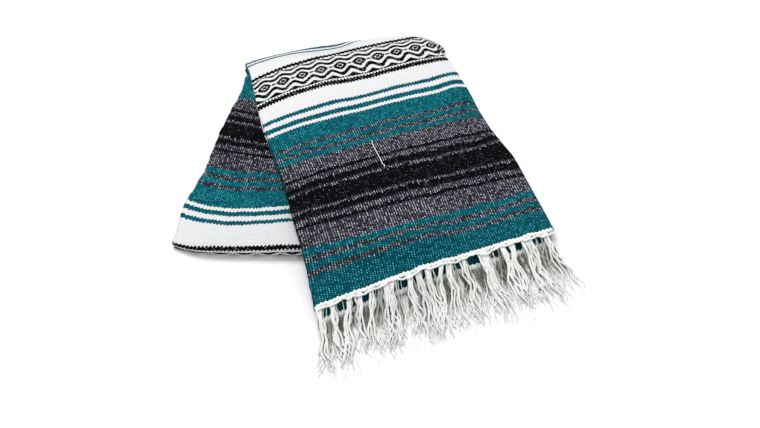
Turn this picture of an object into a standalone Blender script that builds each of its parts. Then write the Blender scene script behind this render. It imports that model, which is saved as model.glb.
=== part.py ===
"""Folded falsa blanket: woven cloth folded in eight layers, then once across, with fringed ends.

Metres, +Z up. The blanket lies on the plane z = 0, and its outline is centred on the origin.
The strip of folded cloth starts at the fringed ends, runs back over a thick fold, and comes
forward again underneath to its near fold at the left.
"""
import math

import bmesh
import bpy
from mathutils import Vector

MM = 0.001
CLOTH = 2.2 * MM  # wall of one layer of cloth
GAP = 0.3 * MM  # between pieces that touch
PACK = 18 * MM  # height of the eight layers
HALF_PACK = PACK / 2  # height of the four layers of one end
CENTRE = Vector((-0.01525, 0.0419))  # middle of the laid outline in the coordinates of the tables
STRIP_WIDTH = 330 * MM  # a quarter of the blanket's width
FOLD_ROUND = 4.6 * MM  # radius of the long fold round four layers
NEAR = 2.6 * MM  # from the outside of a layer of cloth to the next layer
DOWN_RAMP = 75 * MM  # how far the upper stretch takes to come down to the floor
HEM_LIFT = 0.35  # share of the height over the floor that is left at the hem
HEM_RISE = 36 * MM  # the height is reached in full this far behind the hem
CLEAR_SIDE = 4 * MM  # the upper stretch stays level this far past the lower one's right edge
HEM_STEP = 15 * MM  # how far the second end reaches past the first
STEP_BACK = 3.5 * MM  # how far the hidden layers stand back from the first hem
HEM_CORD = 4.5 * MM  # width of the knotted strip that holds the fringe
FIRST_HEM = (0.0, 0.99)  # shares of the width between which the first hem strip runs
SECOND_HEM = (0.010, 0.982)  # the same for the second end and its hem strip
FRINGE_LENGTH = 106 * MM
LEAN = Vector((0.17, -0.985)).normalized()  # direction of the fringe on the floor
FAN = 0.10  # turn of the fringe from its left lock to its right one, in radians
LANDING = 55 * MM  # from the hem to where the fringe lies flat
LOCKS = 60  # locks of yarn on each end
LOCK_STEPS = 4  # sections along a lock
LOCK_ROOT = 0.48  # share of the hem strip that the roots of the locks take up
LOCK_SIZE = (2.9 * MM, 2.2 * MM)  # width and height of a lock
TIP_SIZE = (1.2 * MM, 1.4 * MM)

# Sections across the upper stretch, in millimetres. Columns: distance from the hem, left x,
# left y, right x, right y, how far the middle bows back, how far the left corner turns back.
UPPER = (
    (0, -82, -175, 236, -41, 4, 0),
    (72, -102, -89, 216, 34, 0, 0),
    (138, -119, -31, 197, 100, -2, 0),
    (198, -134, 27, 171, 161, -1, 0),
    (300, -165, 118, 137, 248, 5, 0),
    (376, -186, 186, 111, 322, 11, 0),
    (440, -202, 258, 90, 389, 13, 0),
    (500, -221, 316, 70, 446, 14, 0),
)
# Sections across the lower stretch, with the same columns.
LOWER = (
    (420, -182, 399, 110, 318, 0, 0),
    (540, -213, 283, 89, 201, 0, 0),
    (585, -224, 238, 82, 161, 0, 0),
    (660, -241, 160, 69, 91, -2, 0),
    (744, -252, 76, 58, 29, -3, 3),
    (813, -266, -2, 52, -4, -4, 12),
    (883, -277, -71, 39, -73, -2, 12),
)
# Where the upper stretch starts to roll over: share of the width, distance from the hem.
CREASE = ((0.0, 482), (0.3, 468), (0.6, 452), (0.85, 440), (0.94, 420), (1.0, 386))
# Left edges of the hidden layers, downwards: depth under the top, how far the edge stands back.
SELVEDGES = (
    (2.6, 1.2), (4.4, 1.0), (4.7, 3.6), (5.2, 1.4), (8.4, 1.8), (9.1, 4.6),
    (9.8, 2.2), (12.8, 1.6), (13.5, 4.2), (14.1, 0.8), (15.4, 1.0), (15.8, 3.2), (16.3, 1.6),
)
# Long folds at the right of the hidden layers, upwards: distance out from the flat, depth.
RIGHT_FOLDS = (
    (2.6, 17.2), (4.0, 15.2), (4.2, 13.2), (2.8, 10.4), (-0.5, 9.5),
    (-0.6, 6.7), (0.8, 6.1), (1.3, 4.8), (0.8, 3.5),
)
# Shares of the width at which the cloth has a point, from its left edge to its long fold.
ACROSS = (0.03, 0.07, 0.12, 0.19, 0.27, 0.36, 0.45, 0.54, 0.63, 0.72, 0.80, 0.87, 0.93)
SELVEDGE_TOE = 0.008  # share of the width where the flat top and bottom of the layers start
LOWER_EDGE = 1 - HALF_PACK / STRIP_WIDTH  # share where the lower stretch starts to turn down
FOLDED = 1 - FOLD_ROUND / STRIP_WIDTH  # share where the upper stretch does
RIGHT_THIN = (0.93, 0.10)  # from this share of the width on, the pack gets thinner by this share
LEFT_THIN = (0.05, 0.08)  # the same up to this share of the width
FRONT_SQUEEZE = 0.9  # the front of the hidden layers is a little thinner than the rest
CURL_REACH = 22 * MM  # how far from its left edge the lower stretch turns back at its near fold
ROLL_LENGTH = math.pi * PACK  # outer length of the big fold
ROLL_END = 0.985  # share of that length which the top layer goes round
TURN_GAP = 2 * MM  # from the inside of the big fold to the top layer of the lower stretch
TURN_SHARE = 0.97  # share of a half turn that the lower stretch's folds go round
FILL_START = 30 * MM  # past the lower stretch by this much, the hidden layers reach the floor
UPPER_STATIONS = 17  # divisions along the upper stretch
LOWER_STATIONS = 10  # divisions along the lower stretch
ROLL_STEPS = 8  # divisions round the big fold
SLANT = 0.2  # turns every square of a wall's grid to be divided the same way
TWIST = 0.03  # the same on a loft
SHARP = math.radians(50)  # edges that turn more than this are drawn sharp
TEAL = (0.0, 0.17, 0.19)
GREY = (0.12, 0.11, 0.13)
WHITE = (0.85, 0.84, 0.80)


def ease(t):
    """0 to 1 with a soft start and end."""
    t = min(max(t, 0.0), 1.0)
    return t * t * (3 - 2 * t)


def read_table(rows, along):
    """A smooth curve through the rows of a table, at a distance along the strip in millimetres."""
    keys = [row[0] for row in rows]
    last = len(keys) - 1
    at = max(0, min(last - 1, sum(key <= along for key in keys) - 1))
    start, end = keys[at], keys[at + 1]
    t = (along - start) / (end - start)

    def slope(i, column):
        low, high = max(i - 1, 0), min(i + 1, last)
        return (rows[high][column] - rows[low][column]) / (keys[high] - keys[low]) * (end - start)

    values = []
    for column in range(1, len(rows[0])):
        a, b = rows[at][column], rows[at + 1][column]
        if t < 0 or t > 1:
            values.append(a + (b - a) * t)
            continue
        m, n = slope(at, column), slope(at + 1, column)
        values.append((2 * t**3 - 3 * t**2 + 1) * a + (t**3 - 2 * t**2 + t) * m
                      + (3 * t**2 - 2 * t**3) * b + (t**3 - t**2) * n)
    return values


def lay(rows, across, along):
    """Place on the ground plan at a share of the width and a distance from the hem."""
    left_x, left_y, right_x, right_y, bow, curl = read_table(rows, along / MM)
    left, right = Vector((left_x, left_y)), Vector((right_x, right_y))
    side = right - left
    back = Vector((-side.y, side.x)).normalized()
    tip = curl * math.exp(-across * side.length * MM / CURL_REACH)
    return (left + side * across + back * bow * 4 * across * (1 - across) + Vector((0, tip))) * MM - CENTRE


def roll_start(across):
    """Distance from the hem at which the upper stretch starts to roll over."""
    return read_table(CREASE, across)[0] * MM


def crease(across):
    """Ground plan of the line where the upper stretch starts to roll over."""
    return lay(UPPER, across, roll_start(across))


def turn_start(across):
    """Distance along the lower stretch, where it comes out from under the roll."""
    target = crease(across)
    low, high = 400 * MM, 600 * MM
    while high - low > 0.0001 * MM:
        middle = (low + high) / 2
        here = lay(LOWER, across, middle)
        ahead = lay(LOWER, across, middle + MM) - here
        if (target - here).dot(ahead) > 0:
            low = middle
        else:
            high = middle
    return low


def outward(line, across):
    """Direction on the plan that leaves a line across the strip, on its left as across grows."""
    step = 0.01  # share of the width
    side = line(min(across + step, 1)) - line(max(across - step, 0))
    return Vector((-side.y, side.x)).normalized()


def near_fold(across):
    """Ground plan of the line where the lower stretch starts to turn down to the floor."""
    return lay(LOWER, across, LOWER[-1][0] * MM)


def past_lower(place):
    """How far a place on the plan lies beyond the lower stretch."""
    near, far = near_fold(1.0), crease(1.0)
    past_front = near.y - HALF_PACK - place.y
    edge_x = near.x + (far.x - near.x) * (place.y - near.y) / (far.y - near.y)
    past_side = place.x - edge_x - HALF_PACK - CLEAR_SIDE
    return math.hypot(max(past_front, 0), max(past_side, 0))


def lift(place, along):
    """Height of the underside of the upper stretch: on the lower one, then down to the floor."""
    hem_drop = HEM_LIFT + (1 - HEM_LIFT) * ease(along / HEM_RISE)
    return (PACK + GAP) * (1 - ease(past_lower(place) / DOWN_RAMP)) * hem_drop


def thickness(across):
    """Share of its full height that the pack has: it is pressed thinner at its long edges."""
    right, right_loss = RIGHT_THIN
    left, left_loss = LEFT_THIN
    return 1 - right_loss * ease((across - right) / (1 - right)) - left_loss * ease((left - across) / left)


def upper_point(across, along, depth):
    """A point of the upper stretch at a depth under its top, rolled over past the crease."""
    start = roll_start(across)
    past = along - start
    plan = lay(UPPER, across, min(along, start))
    base = lift(plan, along)
    below = depth * thickness(across)
    top = base + PACK * thickness(across)
    if past <= 0:
        return Vector((plan.x, plan.y, top - below))
    radius = top / 2
    angle = past / ROLL_LENGTH * math.pi
    share = angle / math.pi
    centre = plan.lerp(lay(LOWER, across, turn_start(across)), share)
    reach = (radius - below) * math.sin(angle)
    plan = centre + outward(crease, across) * reach
    return Vector((plan.x, plan.y, radius + (radius - below) * math.cos(angle)))


def lower_point(across, along, height):
    """A point of the lower stretch at a height over the floor, turned down past the near fold."""
    fold = LOWER[-1][0] * MM
    past = along - fold
    plan = lay(LOWER, across, min(along, fold))
    height *= thickness(across)
    if past <= 0:
        return Vector((plan.x, plan.y, height))
    middle = HALF_PACK * thickness(across)
    angle = past / HALF_PACK
    plan = plan - outward(near_fold, across) * (height - middle) * math.sin(angle)
    return Vector((plan.x, plan.y, middle + (height - middle) * math.cos(angle)))


def cloth_material(name, colour, roughness):
    material = bpy.data.materials.new(name)
    material.use_nodes = True
    shader = material.node_tree.nodes["Principled BSDF"]
    shader.inputs["Base Color"].default_value = (*colour, 1)
    shader.inputs["Roughness"].default_value = roughness
    shader.inputs["Metallic"].default_value = 0
    return material


def keep(bm, name, material):
    """Turns a mesh under construction into an object of the scene."""
    bmesh.ops.triangulate(bm, faces=bm.faces)
    bmesh.ops.recalc_face_normals(bm, faces=bm.faces)
    if bm.calc_volume(signed=True) < 0:
        bmesh.ops.reverse_faces(bm, faces=bm.faces)
    mesh = bpy.data.meshes.new(name)
    bm.to_mesh(mesh)
    bm.free()
    mesh.shade_smooth()
    mesh.set_sharp_from_angle(angle=SHARP)
    mesh.materials.append(material)
    bpy.context.scene.collection.objects.link(bpy.data.objects.new(name, mesh))


def loft(name, stations, chords, material):
    """A closed solid through rings of points, one ring for each station.

    Chords are pairs of points on a ring, across which the two end faces are divided.
    """
    count = len(stations[0])
    bm = bmesh.new()
    ring = bmesh.ops.create_circle(bm, segments=count, radius=1)["verts"]
    start = math.atan2(ring[0].co.y, ring[0].co.x)
    edges = bm.edges[:]
    ends = [edges]
    for level in range(1, len(stations)):
        grown = bmesh.ops.extrude_edge_only(bm, edges=edges)["geom"]
        verts = [item for item in grown if isinstance(item, bmesh.types.BMVert)]
        bmesh.ops.translate(bm, verts=verts, vec=(0, 0, 1))
        edges = [item for item in grown if isinstance(item, bmesh.types.BMEdge)
                 and min(vert.co.z for vert in item.verts) > level - 0.5]
    ends.append(edges)
    spots = {}
    for vert in bm.verts:
        turn = (math.atan2(vert.co.y, vert.co.x) - start) / (2 * math.pi)
        spots[vert] = (round(turn * count) % count, round(vert.co.z))
    for level, end in zip((0, len(stations) - 1), ends):
        face = bmesh.ops.contextual_create(bm, geom=end)["faces"][0]
        at = {spots[vert][0]: vert for vert in face.verts}
        for one, other in chords:
            shared = set(at[one].link_faces) & set(at[other].link_faces)
            bmesh.utils.face_split(shared.pop(), at[one], at[other])
    for vert, (index, level) in spots.items():
        turn = 2 * math.pi * index / count + TWIST * level
        vert.co = (math.cos(turn), math.sin(turn), level)
    sides = [face for face in bm.faces if len({spots[vert][1] for vert in face.verts}) == 2]
    bmesh.ops.triangulate(bm, faces=sides, quad_method="SHORT_EDGE")
    for vert, (index, level) in spots.items():
        vert.co = stations[level][index]
    keep(bm, name, material)


def cloth_wall(name, columns, rows, place, material):
    """A wall of cloth: a grid with a second side, each point moved to place(column, row, side)."""
    bm = bmesh.new()
    bmesh.ops.create_grid(bm, x_segments=columns, y_segments=rows, size=0.5)
    inside = bmesh.ops.extrude_face_region(bm, geom=bm.faces[:])["geom"]
    inner = {item for item in inside if isinstance(item, bmesh.types.BMVert)}
    spots = {}
    for vert in bm.verts:
        column = round((vert.co.x + 0.5) * columns)
        row = round((vert.co.y + 0.5) * rows)
        spots[vert] = (column, row, 1 if vert in inner else 0)
        vert.co = (column - SLANT * row, row, 0 if vert in inner else 1)
    bmesh.ops.triangulate(bm, faces=bm.faces, quad_method="SHORT_EDGE")
    for vert, spot in spots.items():
        vert.co = place(*spot)
    keep(bm, name, material)


def spread(start, end, count):
    """Evenly spaced values, both ends included."""
    return [start + (end - start) * i / count for i in range(count + 1)]


def upper_layer():
    """Top layer of the upper stretch: round the long fold at the right and over the crease."""
    flat = (0, *ACROSS, FOLDED)
    turns = spread(0, math.pi, 6)[1:]
    stations = spread(0, 1, UPPER_STATIONS)
    roll = spread(0, ROLL_END, ROLL_STEPS)[1:]

    def place(column, row, side):
        skin = CLOTH * side
        if column < len(flat):
            across, depth = flat[column], skin
        else:
            angle = turns[column - len(flat)]
            radius = FOLD_ROUND - skin
            across = FOLDED + radius * math.sin(angle) / STRIP_WIDTH
            depth = FOLD_ROUND - radius * math.cos(angle)
        if row < len(stations):
            along = stations[row] * roll_start(across)
        else:
            along = roll_start(across) + roll[row - len(stations)] * ROLL_LENGTH
        return upper_point(across, along, depth)

    cloth_wall("upper_layer", len(flat) + len(turns) - 1, len(stations) + len(roll) - 1, place,
               cloth_material("teal_cloth", TEAL, 0.9))


def lower_layer():
    """Top layer of the lower stretch: round its right edge and down the near fold."""
    flat = (0, *ACROSS, LOWER_EDGE)
    turns = spread(0, math.pi * TURN_SHARE, 6)[1:]
    stations = spread(0, 1, LOWER_STATIONS)
    turn = spread(0, math.pi * TURN_SHARE, 7)[1:]
    fold = LOWER[-1][0] * MM

    def place(column, row, side):
        radius = HALF_PACK - CLOTH * side
        height = HALF_PACK + radius
        across = flat[min(column, len(flat) - 1)]
        if column >= len(flat):
            angle = turns[column - len(flat)]
            across += radius * math.sin(angle) / STRIP_WIDTH
            height = HALF_PACK + radius * math.cos(angle)
        if row < len(stations):
            start = turn_start(min(across, 1)) + TURN_GAP
            along = start + stations[row] * (fold - start)
        else:
            along = fold + turn[row - len(stations)] * HALF_PACK
        return lower_point(across, along, height)

    cloth_wall("lower_layer", len(flat) + len(turns) - 1, len(stations) + len(turn) - 1, place,
               cloth_material("grey_cloth", GREY, 0.9))


def hidden_edges():
    """Outline of the hidden layers of the upper stretch: (share of the width, depth) in turn.

    It goes down the layered left edge, along the bottom, up the two long folds at the right
    and back along the top.
    """
    left = [(inset * MM / STRIP_WIDTH, depth * MM) for depth, inset in SELVEDGES]
    bottom = [(across, PACK) for across in (SELVEDGE_TOE, *ACROSS, FOLDED)]
    right = [(FOLDED + out * MM / STRIP_WIDTH, depth * MM) for out, depth in RIGHT_FOLDS]
    top = [(across, NEAR) for across in (FOLDED, *reversed(ACROSS), SELVEDGE_TOE)]
    return left, bottom, right, top


def hidden_layers():
    """The layers inside the folded strip, one solid from the hem over the crease to the near fold."""
    left, bottom, right, top = hidden_edges()
    outline = left + bottom + right + top
    first_right = len(left) + len(bottom)
    fold = LOWER[-1][0] * MM
    inner_radius = HALF_PACK - NEAR

    def on_upper(share):
        points = []
        for at, (across, depth) in enumerate(outline):
            if share == 0:
                depth = HALF_PACK + (depth - HALF_PACK) * FRONT_SQUEEZE
            point = upper_point(across, share * roll_start(across), depth)
            if share == 0:
                next_along = roll_start(across) / UPPER_STATIONS
                point = point.lerp(upper_point(across, next_along, depth), STEP_BACK / next_along)
            under = len(left) < at < first_right - 1
            if under and past_lower(point.xy) > FILL_START:
                point.z = 0
            points.append(point)
        return points

    def on_roll(share):
        return [
            upper_point(across, roll_start(across) + share * ROLL_LENGTH,
                        min(depth, PACK - MM))
            for across, depth in outline
        ]

    def lower_outline():
        """The same outline on the lower stretch, inside its own right edge."""
        shape = []
        for at, (across, depth) in enumerate(outline):
            height = depth - NEAR
            turn = at - first_right
            if 0 <= turn < len(right):
                height = inner_radius * 2 * (1 - turn / (len(right) - 1)) + NEAR
                reach = math.sqrt(max(inner_radius**2 - (height - HALF_PACK) ** 2, 0))
                across = LOWER_EDGE + (reach - 2 * GAP) / STRIP_WIDTH
            elif at >= first_right + len(right):
                across = min(across, LOWER_EDGE - 2 * MM / STRIP_WIDTH)
            else:
                across = min(across, LOWER_EDGE)
            shape.append((across, height))
        return shape

    def on_lower(share, back=0.0):
        """A section of the lower stretch, a little further back where it meets the big fold."""
        points = []
        for across, height in lower_outline():
            start = turn_start(across) + TURN_GAP
            points.append(lower_point(across, start - back + share * (fold - start), height))
        return points

    def in_near_fold(reach):
        points = []
        for across, height in lower_outline():
            squeeze = math.sqrt(inner_radius**2 - reach**2) / inner_radius
            room = (inner_radius - GAP) / HALF_PACK if height < HALF_PACK else 1
            height = HALF_PACK + (height - HALF_PACK) * squeeze * room
            plan = near_fold(across) - outward(near_fold, across) * reach
            points.append(Vector((plan.x, plan.y, height * thickness(across))))
        return points

    stations = [on_upper(share) for share in spread(0, 1, UPPER_STATIONS)]
    stations += [on_roll(share) for share in spread(0, ROLL_END, ROLL_STEPS)[1:]]
    stations += [on_lower(0, MM)]
    stations += [on_lower(share) for share in spread(0, 1, LOWER_STATIONS)]
    stations += [in_near_fold(reach * MM) for reach in (0.2, 4.0, 6.0)]

    first_top = first_right + len(right)
    chords = [(at, first_top + first_right - 1 - at) for at in range(len(left) + 1, first_right - 1)]
    loft("inner_layers", stations, chords, cloth_material("inner_cloth", GREY, 0.95))


def second_end():
    """The second fringed end, which shows under the first and slopes to the floor."""
    # Columns: distance from the first hem and height of the top, both in millimetres, and the
    # share of the first hem's height over the floor that is added to it.
    slope = ((-15.0, 2.5, 0), (-11.0, 3.4, 0.1), (-6.0, 5.9, 0.5), (0.0, 8.4, 0.9), (3.0, 9.0, 1))
    first, last = SECOND_HEM
    columns = (first, *ACROSS, last)

    def place(column, row, side):
        across = columns[column]
        along, height, raised = slope[row]
        plan = lay(UPPER, across, along * MM)
        base = lift(lay(UPPER, across, 0), 0) * raised
        return Vector((plan.x, plan.y, base + height * MM - CLOTH * side))

    cloth_wall("second_end", len(columns) - 1, len(slope) - 1, place, cloth_material("dark_cloth", TEAL, 0.9))


def fringe(name, hem, place, rest_height, ends, seed):
    """A hem strip with locks of yarn: place(across, along, side) gives a point of the strip."""
    columns = 2 * LOCKS + 1
    first, last = ends

    def edge(column):
        half = LOCK_ROOT / 2 if column % 2 else -LOCK_ROOT / 2
        share = (column // 2 + 0.5 + half) / (LOCKS + 0.5)
        return first + (last - first) * min(max(share, 0), 1)

    bm = bmesh.new()
    bmesh.ops.create_grid(bm, x_segments=columns, y_segments=1, size=0.5)
    inside = bmesh.ops.extrude_face_region(bm, geom=bm.faces[:])["geom"]
    under = {item for item in inside if isinstance(item, bmesh.types.BMVert)}
    spots = {}
    for vert in bm.verts:
        spots[vert] = (round((vert.co.x + 0.5) * columns), vert.co.y < 0)
    for vert, (column, outer) in spots.items():
        vert.co = place(edge(column), hem - (HEM_CORD if outer else 0), 1 if vert in under else 0)
    roots = [face for face in bm.faces if all(spots[vert][1] for vert in face.verts)]
    for face in roots:
        column = min(spots[vert][0] for vert in face.verts)
        if column % 2 == 0:
            continue
        grow_lock(bm, face, column // 2, rest_height, seed)
    keep(bm, name, cloth_material(name + "_yarn", WHITE, 0.95))


def first_hem(across, along, side):
    """The first hem strip goes on from the top layer."""
    return upper_point(across, along, CLOTH * side)


def second_hem(across, along, side):
    """The second hem strip lies on the floor."""
    plan = lay(UPPER, across, along)
    return Vector((plan.x, plan.y, GAP + CLOTH * (1 - side)))


def grow_lock(bm, face, number, rest_height, seed):
    """Draws one lock of yarn out of its root face, down to the floor and along it."""
    bundle = number // 2
    longer = 0.10 * math.sin(bundle * 2.3 + seed) + 0.05 * math.sin(number * 5.1)
    length = FRINGE_LENGTH * (0.90 + longer)
    aside = 0.04 * math.sin(bundle * 0.55 + seed) + (0.014 if number % 2 else -0.014)
    turn = FAN * (number / LOCKS - 0.5) + aside
    forward = Vector((LEAN.x * math.cos(turn) - LEAN.y * math.sin(turn),
                      LEAN.x * math.sin(turn) + LEAN.y * math.cos(turn)))
    sideways = Vector((-forward.y, forward.x))
    root = face.calc_center_median()
    for step in range(1, LOCK_STEPS + 1):
        share = step / LOCK_STEPS
        wave = 1.6 * MM * math.sin(number * 0.4 + seed + share * 5) * share
        centre = root.xy + forward * length * share + sideways * wave
        height = rest_height + (root.z - rest_height) * (1 - ease(length * share / LANDING))
        wide, high = LOCK_SIZE if step < LOCK_STEPS else TIP_SIZE
        face = bmesh.ops.extrude_discrete_faces(bm, faces=[face])["faces"][0]
        middle = face.calc_center_median()
        for vert in face.verts:
            offset = vert.co - middle
            side = wide / 2 if offset.xy.dot(sideways) > 0 else -wide / 2
            rise = high / 2 if offset.z > 0 else -high / 2
            plan = centre + sideways * side
            vert.co = Vector((plan.x, plan.y, height + rise))


def clear():
    for item in list(bpy.data.objects):
        bpy.data.objects.remove(item, do_unlink=True)


clear()
upper_layer()
lower_layer()
hidden_layers()
second_end()
fringe("first_fringe", -GAP, first_hem, 5.0 * MM, FIRST_HEM, 0.0)
fringe("second_fringe", -HEM_STEP - GAP, second_hem, 1.6 * MM, SECOND_HEM, 1.7)
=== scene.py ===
"""Folded falsa blanket: the looks of its cloth, hems and fringe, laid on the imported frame.

Metres, +Z up. The cloth's shape is given by the same sections as in the part's source. Every
piece of cloth carries a UV map in metres: u runs across the folded strip from its left edge,
and v along it from the hem, so one weave with all the stripes serves every piece.
"""
import math
from functools import lru_cache

import bmesh
import bpy
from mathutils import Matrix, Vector, noise


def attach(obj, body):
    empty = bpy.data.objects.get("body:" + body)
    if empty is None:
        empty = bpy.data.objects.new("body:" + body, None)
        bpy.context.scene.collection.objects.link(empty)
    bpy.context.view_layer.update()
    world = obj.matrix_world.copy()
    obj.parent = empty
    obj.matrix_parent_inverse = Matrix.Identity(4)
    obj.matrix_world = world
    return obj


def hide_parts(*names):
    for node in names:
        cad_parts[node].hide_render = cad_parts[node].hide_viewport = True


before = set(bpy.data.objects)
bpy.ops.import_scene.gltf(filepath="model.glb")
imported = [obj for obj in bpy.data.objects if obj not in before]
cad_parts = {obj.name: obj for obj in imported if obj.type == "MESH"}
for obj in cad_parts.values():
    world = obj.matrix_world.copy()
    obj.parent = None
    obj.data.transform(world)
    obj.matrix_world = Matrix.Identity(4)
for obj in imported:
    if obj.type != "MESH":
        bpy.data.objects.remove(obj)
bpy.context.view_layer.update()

MM = 0.001
CLOTH = 2.0 * MM  # wall of one layer of cloth
PACK = 18 * MM  # height of the eight layers
HALF_PACK = PACK / 2
GAP = 0.3 * MM
CENTRE = Vector((-0.01525, 0.0419))  # middle of the laid outline in the coordinates of the tables
STRIP_WIDTH = 330 * MM  # a quarter of the blanket's width
FOLD_ROUND = 4.6 * MM  # radius of the long fold round four layers
NEAR = 2.6 * MM  # from the outside of the top layer to the next one
DOWN_RAMP = 75 * MM  # length in which the upper stretch comes down from the lower one to the floor
HEM_LIFT = 0.35  # share of that height that is left under the hem
HEM_RISE = 36 * MM  # from the hem to where the full height is reached
CLEAR_SIDE = 4 * MM  # how far to the side of the lower stretch the slope starts
HEM_STEP = 15 * MM  # how far the second end reaches past the first

# Sections across the upper stretch, in millimetres. Columns: distance from the hem, left x,
# left y, right x, right y, how far the middle bows back, how far the left corner turns back.
UPPER = (
    (0, -82, -175, 236, -41, 4, 0),
    (72, -102, -89, 216, 34, 0, 0),
    (138, -119, -31, 197, 100, -2, 0),
    (198, -134, 27, 171, 161, -1, 0),
    (300, -165, 118, 137, 248, 5, 0),
    (376, -186, 186, 111, 322, 11, 0),
    (440, -202, 258, 90, 389, 13, 0),
    (500, -221, 316, 70, 446, 14, 0),
)
# Sections across the lower stretch, with the same columns.
LOWER = (
    (420, -182, 399, 110, 318, 0, 0),
    (540, -213, 283, 89, 201, 0, 0),
    (585, -224, 238, 82, 161, 0, 0),
    (660, -241, 160, 69, 91, -2, 0),
    (744, -252, 76, 58, 29, -3, 3),
    (813, -266, -2, 52, -4, -4, 12),
    (883, -277, -71, 39, -73, -2, 12),
)
# Where the upper stretch starts to roll over: share of the width, distance from the hem.
CREASE = ((0.0, 482), (0.3, 468), (0.6, 452), (0.85, 440), (0.94, 420), (1.0, 386))
NEAR_FOLD = LOWER[-1][0] * MM  # from the hem to where the lower stretch turns down to the floor
LOWER_START = 600 * MM  # from the hem to where the lower stretch comes into sight
LOWER_EDGE = 1 - HALF_PACK / STRIP_WIDTH
FOLDED = 1 - FOLD_ROUND / STRIP_WIDTH
RIGHT_THIN = (0.93, 0.10)  # share of the width where the pack gets thinner, share of height lost
LEFT_THIN = (0.05, 0.08)
CURL_REACH = 22 * MM  # how far along a section its turned corner is felt
ROLL_LENGTH = math.pi * PACK  # half way round the big fold
ROLL_END = 0.985  # share of the roll where the upper layer stops, just over the lower one
TURN_GAP = 2 * MM  # from the crease to where the lower layer starts
TURN_SHARE = 0.97  # share of half a turn that the lower layer goes round its edges
CORNER = 360 * MM  # from the hem to where the long fold flattens towards the crest
CORNER_FLAT = 0.6  # share of its roundness that the long fold loses there
CORNER_IN = 0.022  # share of the width by which the corner at the crest is drawn in
CORNER_FROM = 0.86  # share of the width where that starts
FILL_START = 30 * MM  # how far past the lower stretch the hidden layers reach down to the floor
PINCH = 0.34  # share of its height that the near fold loses at its left corner
PINCH_WIDTH = 0.16
PINCH_LENGTH = 60 * MM
NEAR_FLAT = 0.24  # share by which the near fold is flatter than round near the floor


def ease(t):
    """0 to 1 with a soft start and end."""
    t = min(max(t, 0.0), 1.0)
    return t * t * (3 - 2 * t)


def uneven(x, y, z):
    """A steady value around 0 that changes softly from place to place."""
    return noise.noise(Vector((x, y, z)))


def read_table(rows, along):
    """A smooth curve through the rows of a table, at a distance along the strip in millimetres."""
    keys = [row[0] for row in rows]
    last = len(keys) - 1
    at = max(0, min(last - 1, sum(key <= along for key in keys) - 1))
    start, end = keys[at], keys[at + 1]
    t = (along - start) / (end - start)

    def slope(i, column):
        low, high = max(i - 1, 0), min(i + 1, last)
        return (rows[high][column] - rows[low][column]) / (keys[high] - keys[low]) * (end - start)

    values = []
    for column in range(1, len(rows[0])):
        a, b = rows[at][column], rows[at + 1][column]
        if t < 0 or t > 1:
            values.append(a + (b - a) * t)
            continue
        m, n = slope(at, column), slope(at + 1, column)
        values.append((2 * t**3 - 3 * t**2 + 1) * a + (t**3 - 2 * t**2 + t) * m
                      + (3 * t**2 - 2 * t**3) * b + (t**3 - t**2) * n)
    return values


@lru_cache(maxsize=None)
def section(rows, along):
    """Left end, right end, bow and curl of the section at a distance from the hem."""
    left_x, left_y, right_x, right_y, bow, curl = read_table(rows, along / MM)
    return (left_x, left_y), (right_x, right_y), bow, curl


def lay(rows, across, along):
    """Place on the ground plan at a share of the width and a distance from the hem."""
    left, right, bow, curl = section(rows, along)
    left, right = Vector(left), Vector(right)
    side = right - left
    back = Vector((-side.y, side.x)).normalized()
    tip = curl * math.exp(-across * side.length * MM / CURL_REACH)
    return (left + side * across + back * bow * 4 * across * (1 - across) + Vector((0, tip))) * MM - CENTRE


@lru_cache(maxsize=None)
def roll_start(across):
    """Distance from the hem at which the upper stretch starts to roll over."""
    return read_table(CREASE, across)[0] * MM


def crease(across):
    """Ground plan of the line where the upper stretch starts to roll over."""
    return lay(UPPER, across, roll_start(across))


@lru_cache(maxsize=None)
def turn_start(across):
    """Distance along the lower stretch, where it comes out from under the roll."""
    target = crease(across)
    low, high = 400 * MM, 600 * MM
    while high - low > 0.001 * MM:
        middle = (low + high) / 2
        here = lay(LOWER, across, middle)
        ahead = lay(LOWER, across, middle + MM) - here
        if (target - here).dot(ahead) > 0:
            low = middle
        else:
            high = middle
    return low


@lru_cache(maxsize=None)
def outward(line, across):
    """Direction on the plan that leaves a line across the strip, on its left as across grows."""
    step = 0.01
    side = line(min(across + step, 1)) - line(max(across - step, 0))
    return Vector((-side.y, side.x)).normalized()


def near_fold(across):
    """Ground plan of the line where the lower stretch starts to turn down to the floor."""
    return lay(LOWER, across, NEAR_FOLD)


def past_lower(place):
    """How far a place on the plan lies beyond the lower stretch."""
    near, far = near_fold(1.0), crease(1.0)
    past_front = near.y - HALF_PACK - place.y
    edge_x = near.x + (far.x - near.x) * (place.y - near.y) / (far.y - near.y)
    past_side = place.x - edge_x - HALF_PACK - CLEAR_SIDE
    return math.hypot(max(past_front, 0), max(past_side, 0))


def lift(place, along):
    """Height of the underside of the upper stretch: on the lower one, then down to the floor."""
    hem_drop = HEM_LIFT + (1 - HEM_LIFT) * ease(along / HEM_RISE)
    return (PACK + GAP) * (1 - ease(past_lower(place) / DOWN_RAMP)) * hem_drop


def thickness(across):
    """Share of its full height that the pack has: it is pressed thinner at its long edges."""
    right, right_loss = RIGHT_THIN
    left, left_loss = LEFT_THIN
    return 1 - right_loss * ease((across - right) / (1 - right)) - left_loss * ease((left - across) / left)


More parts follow.
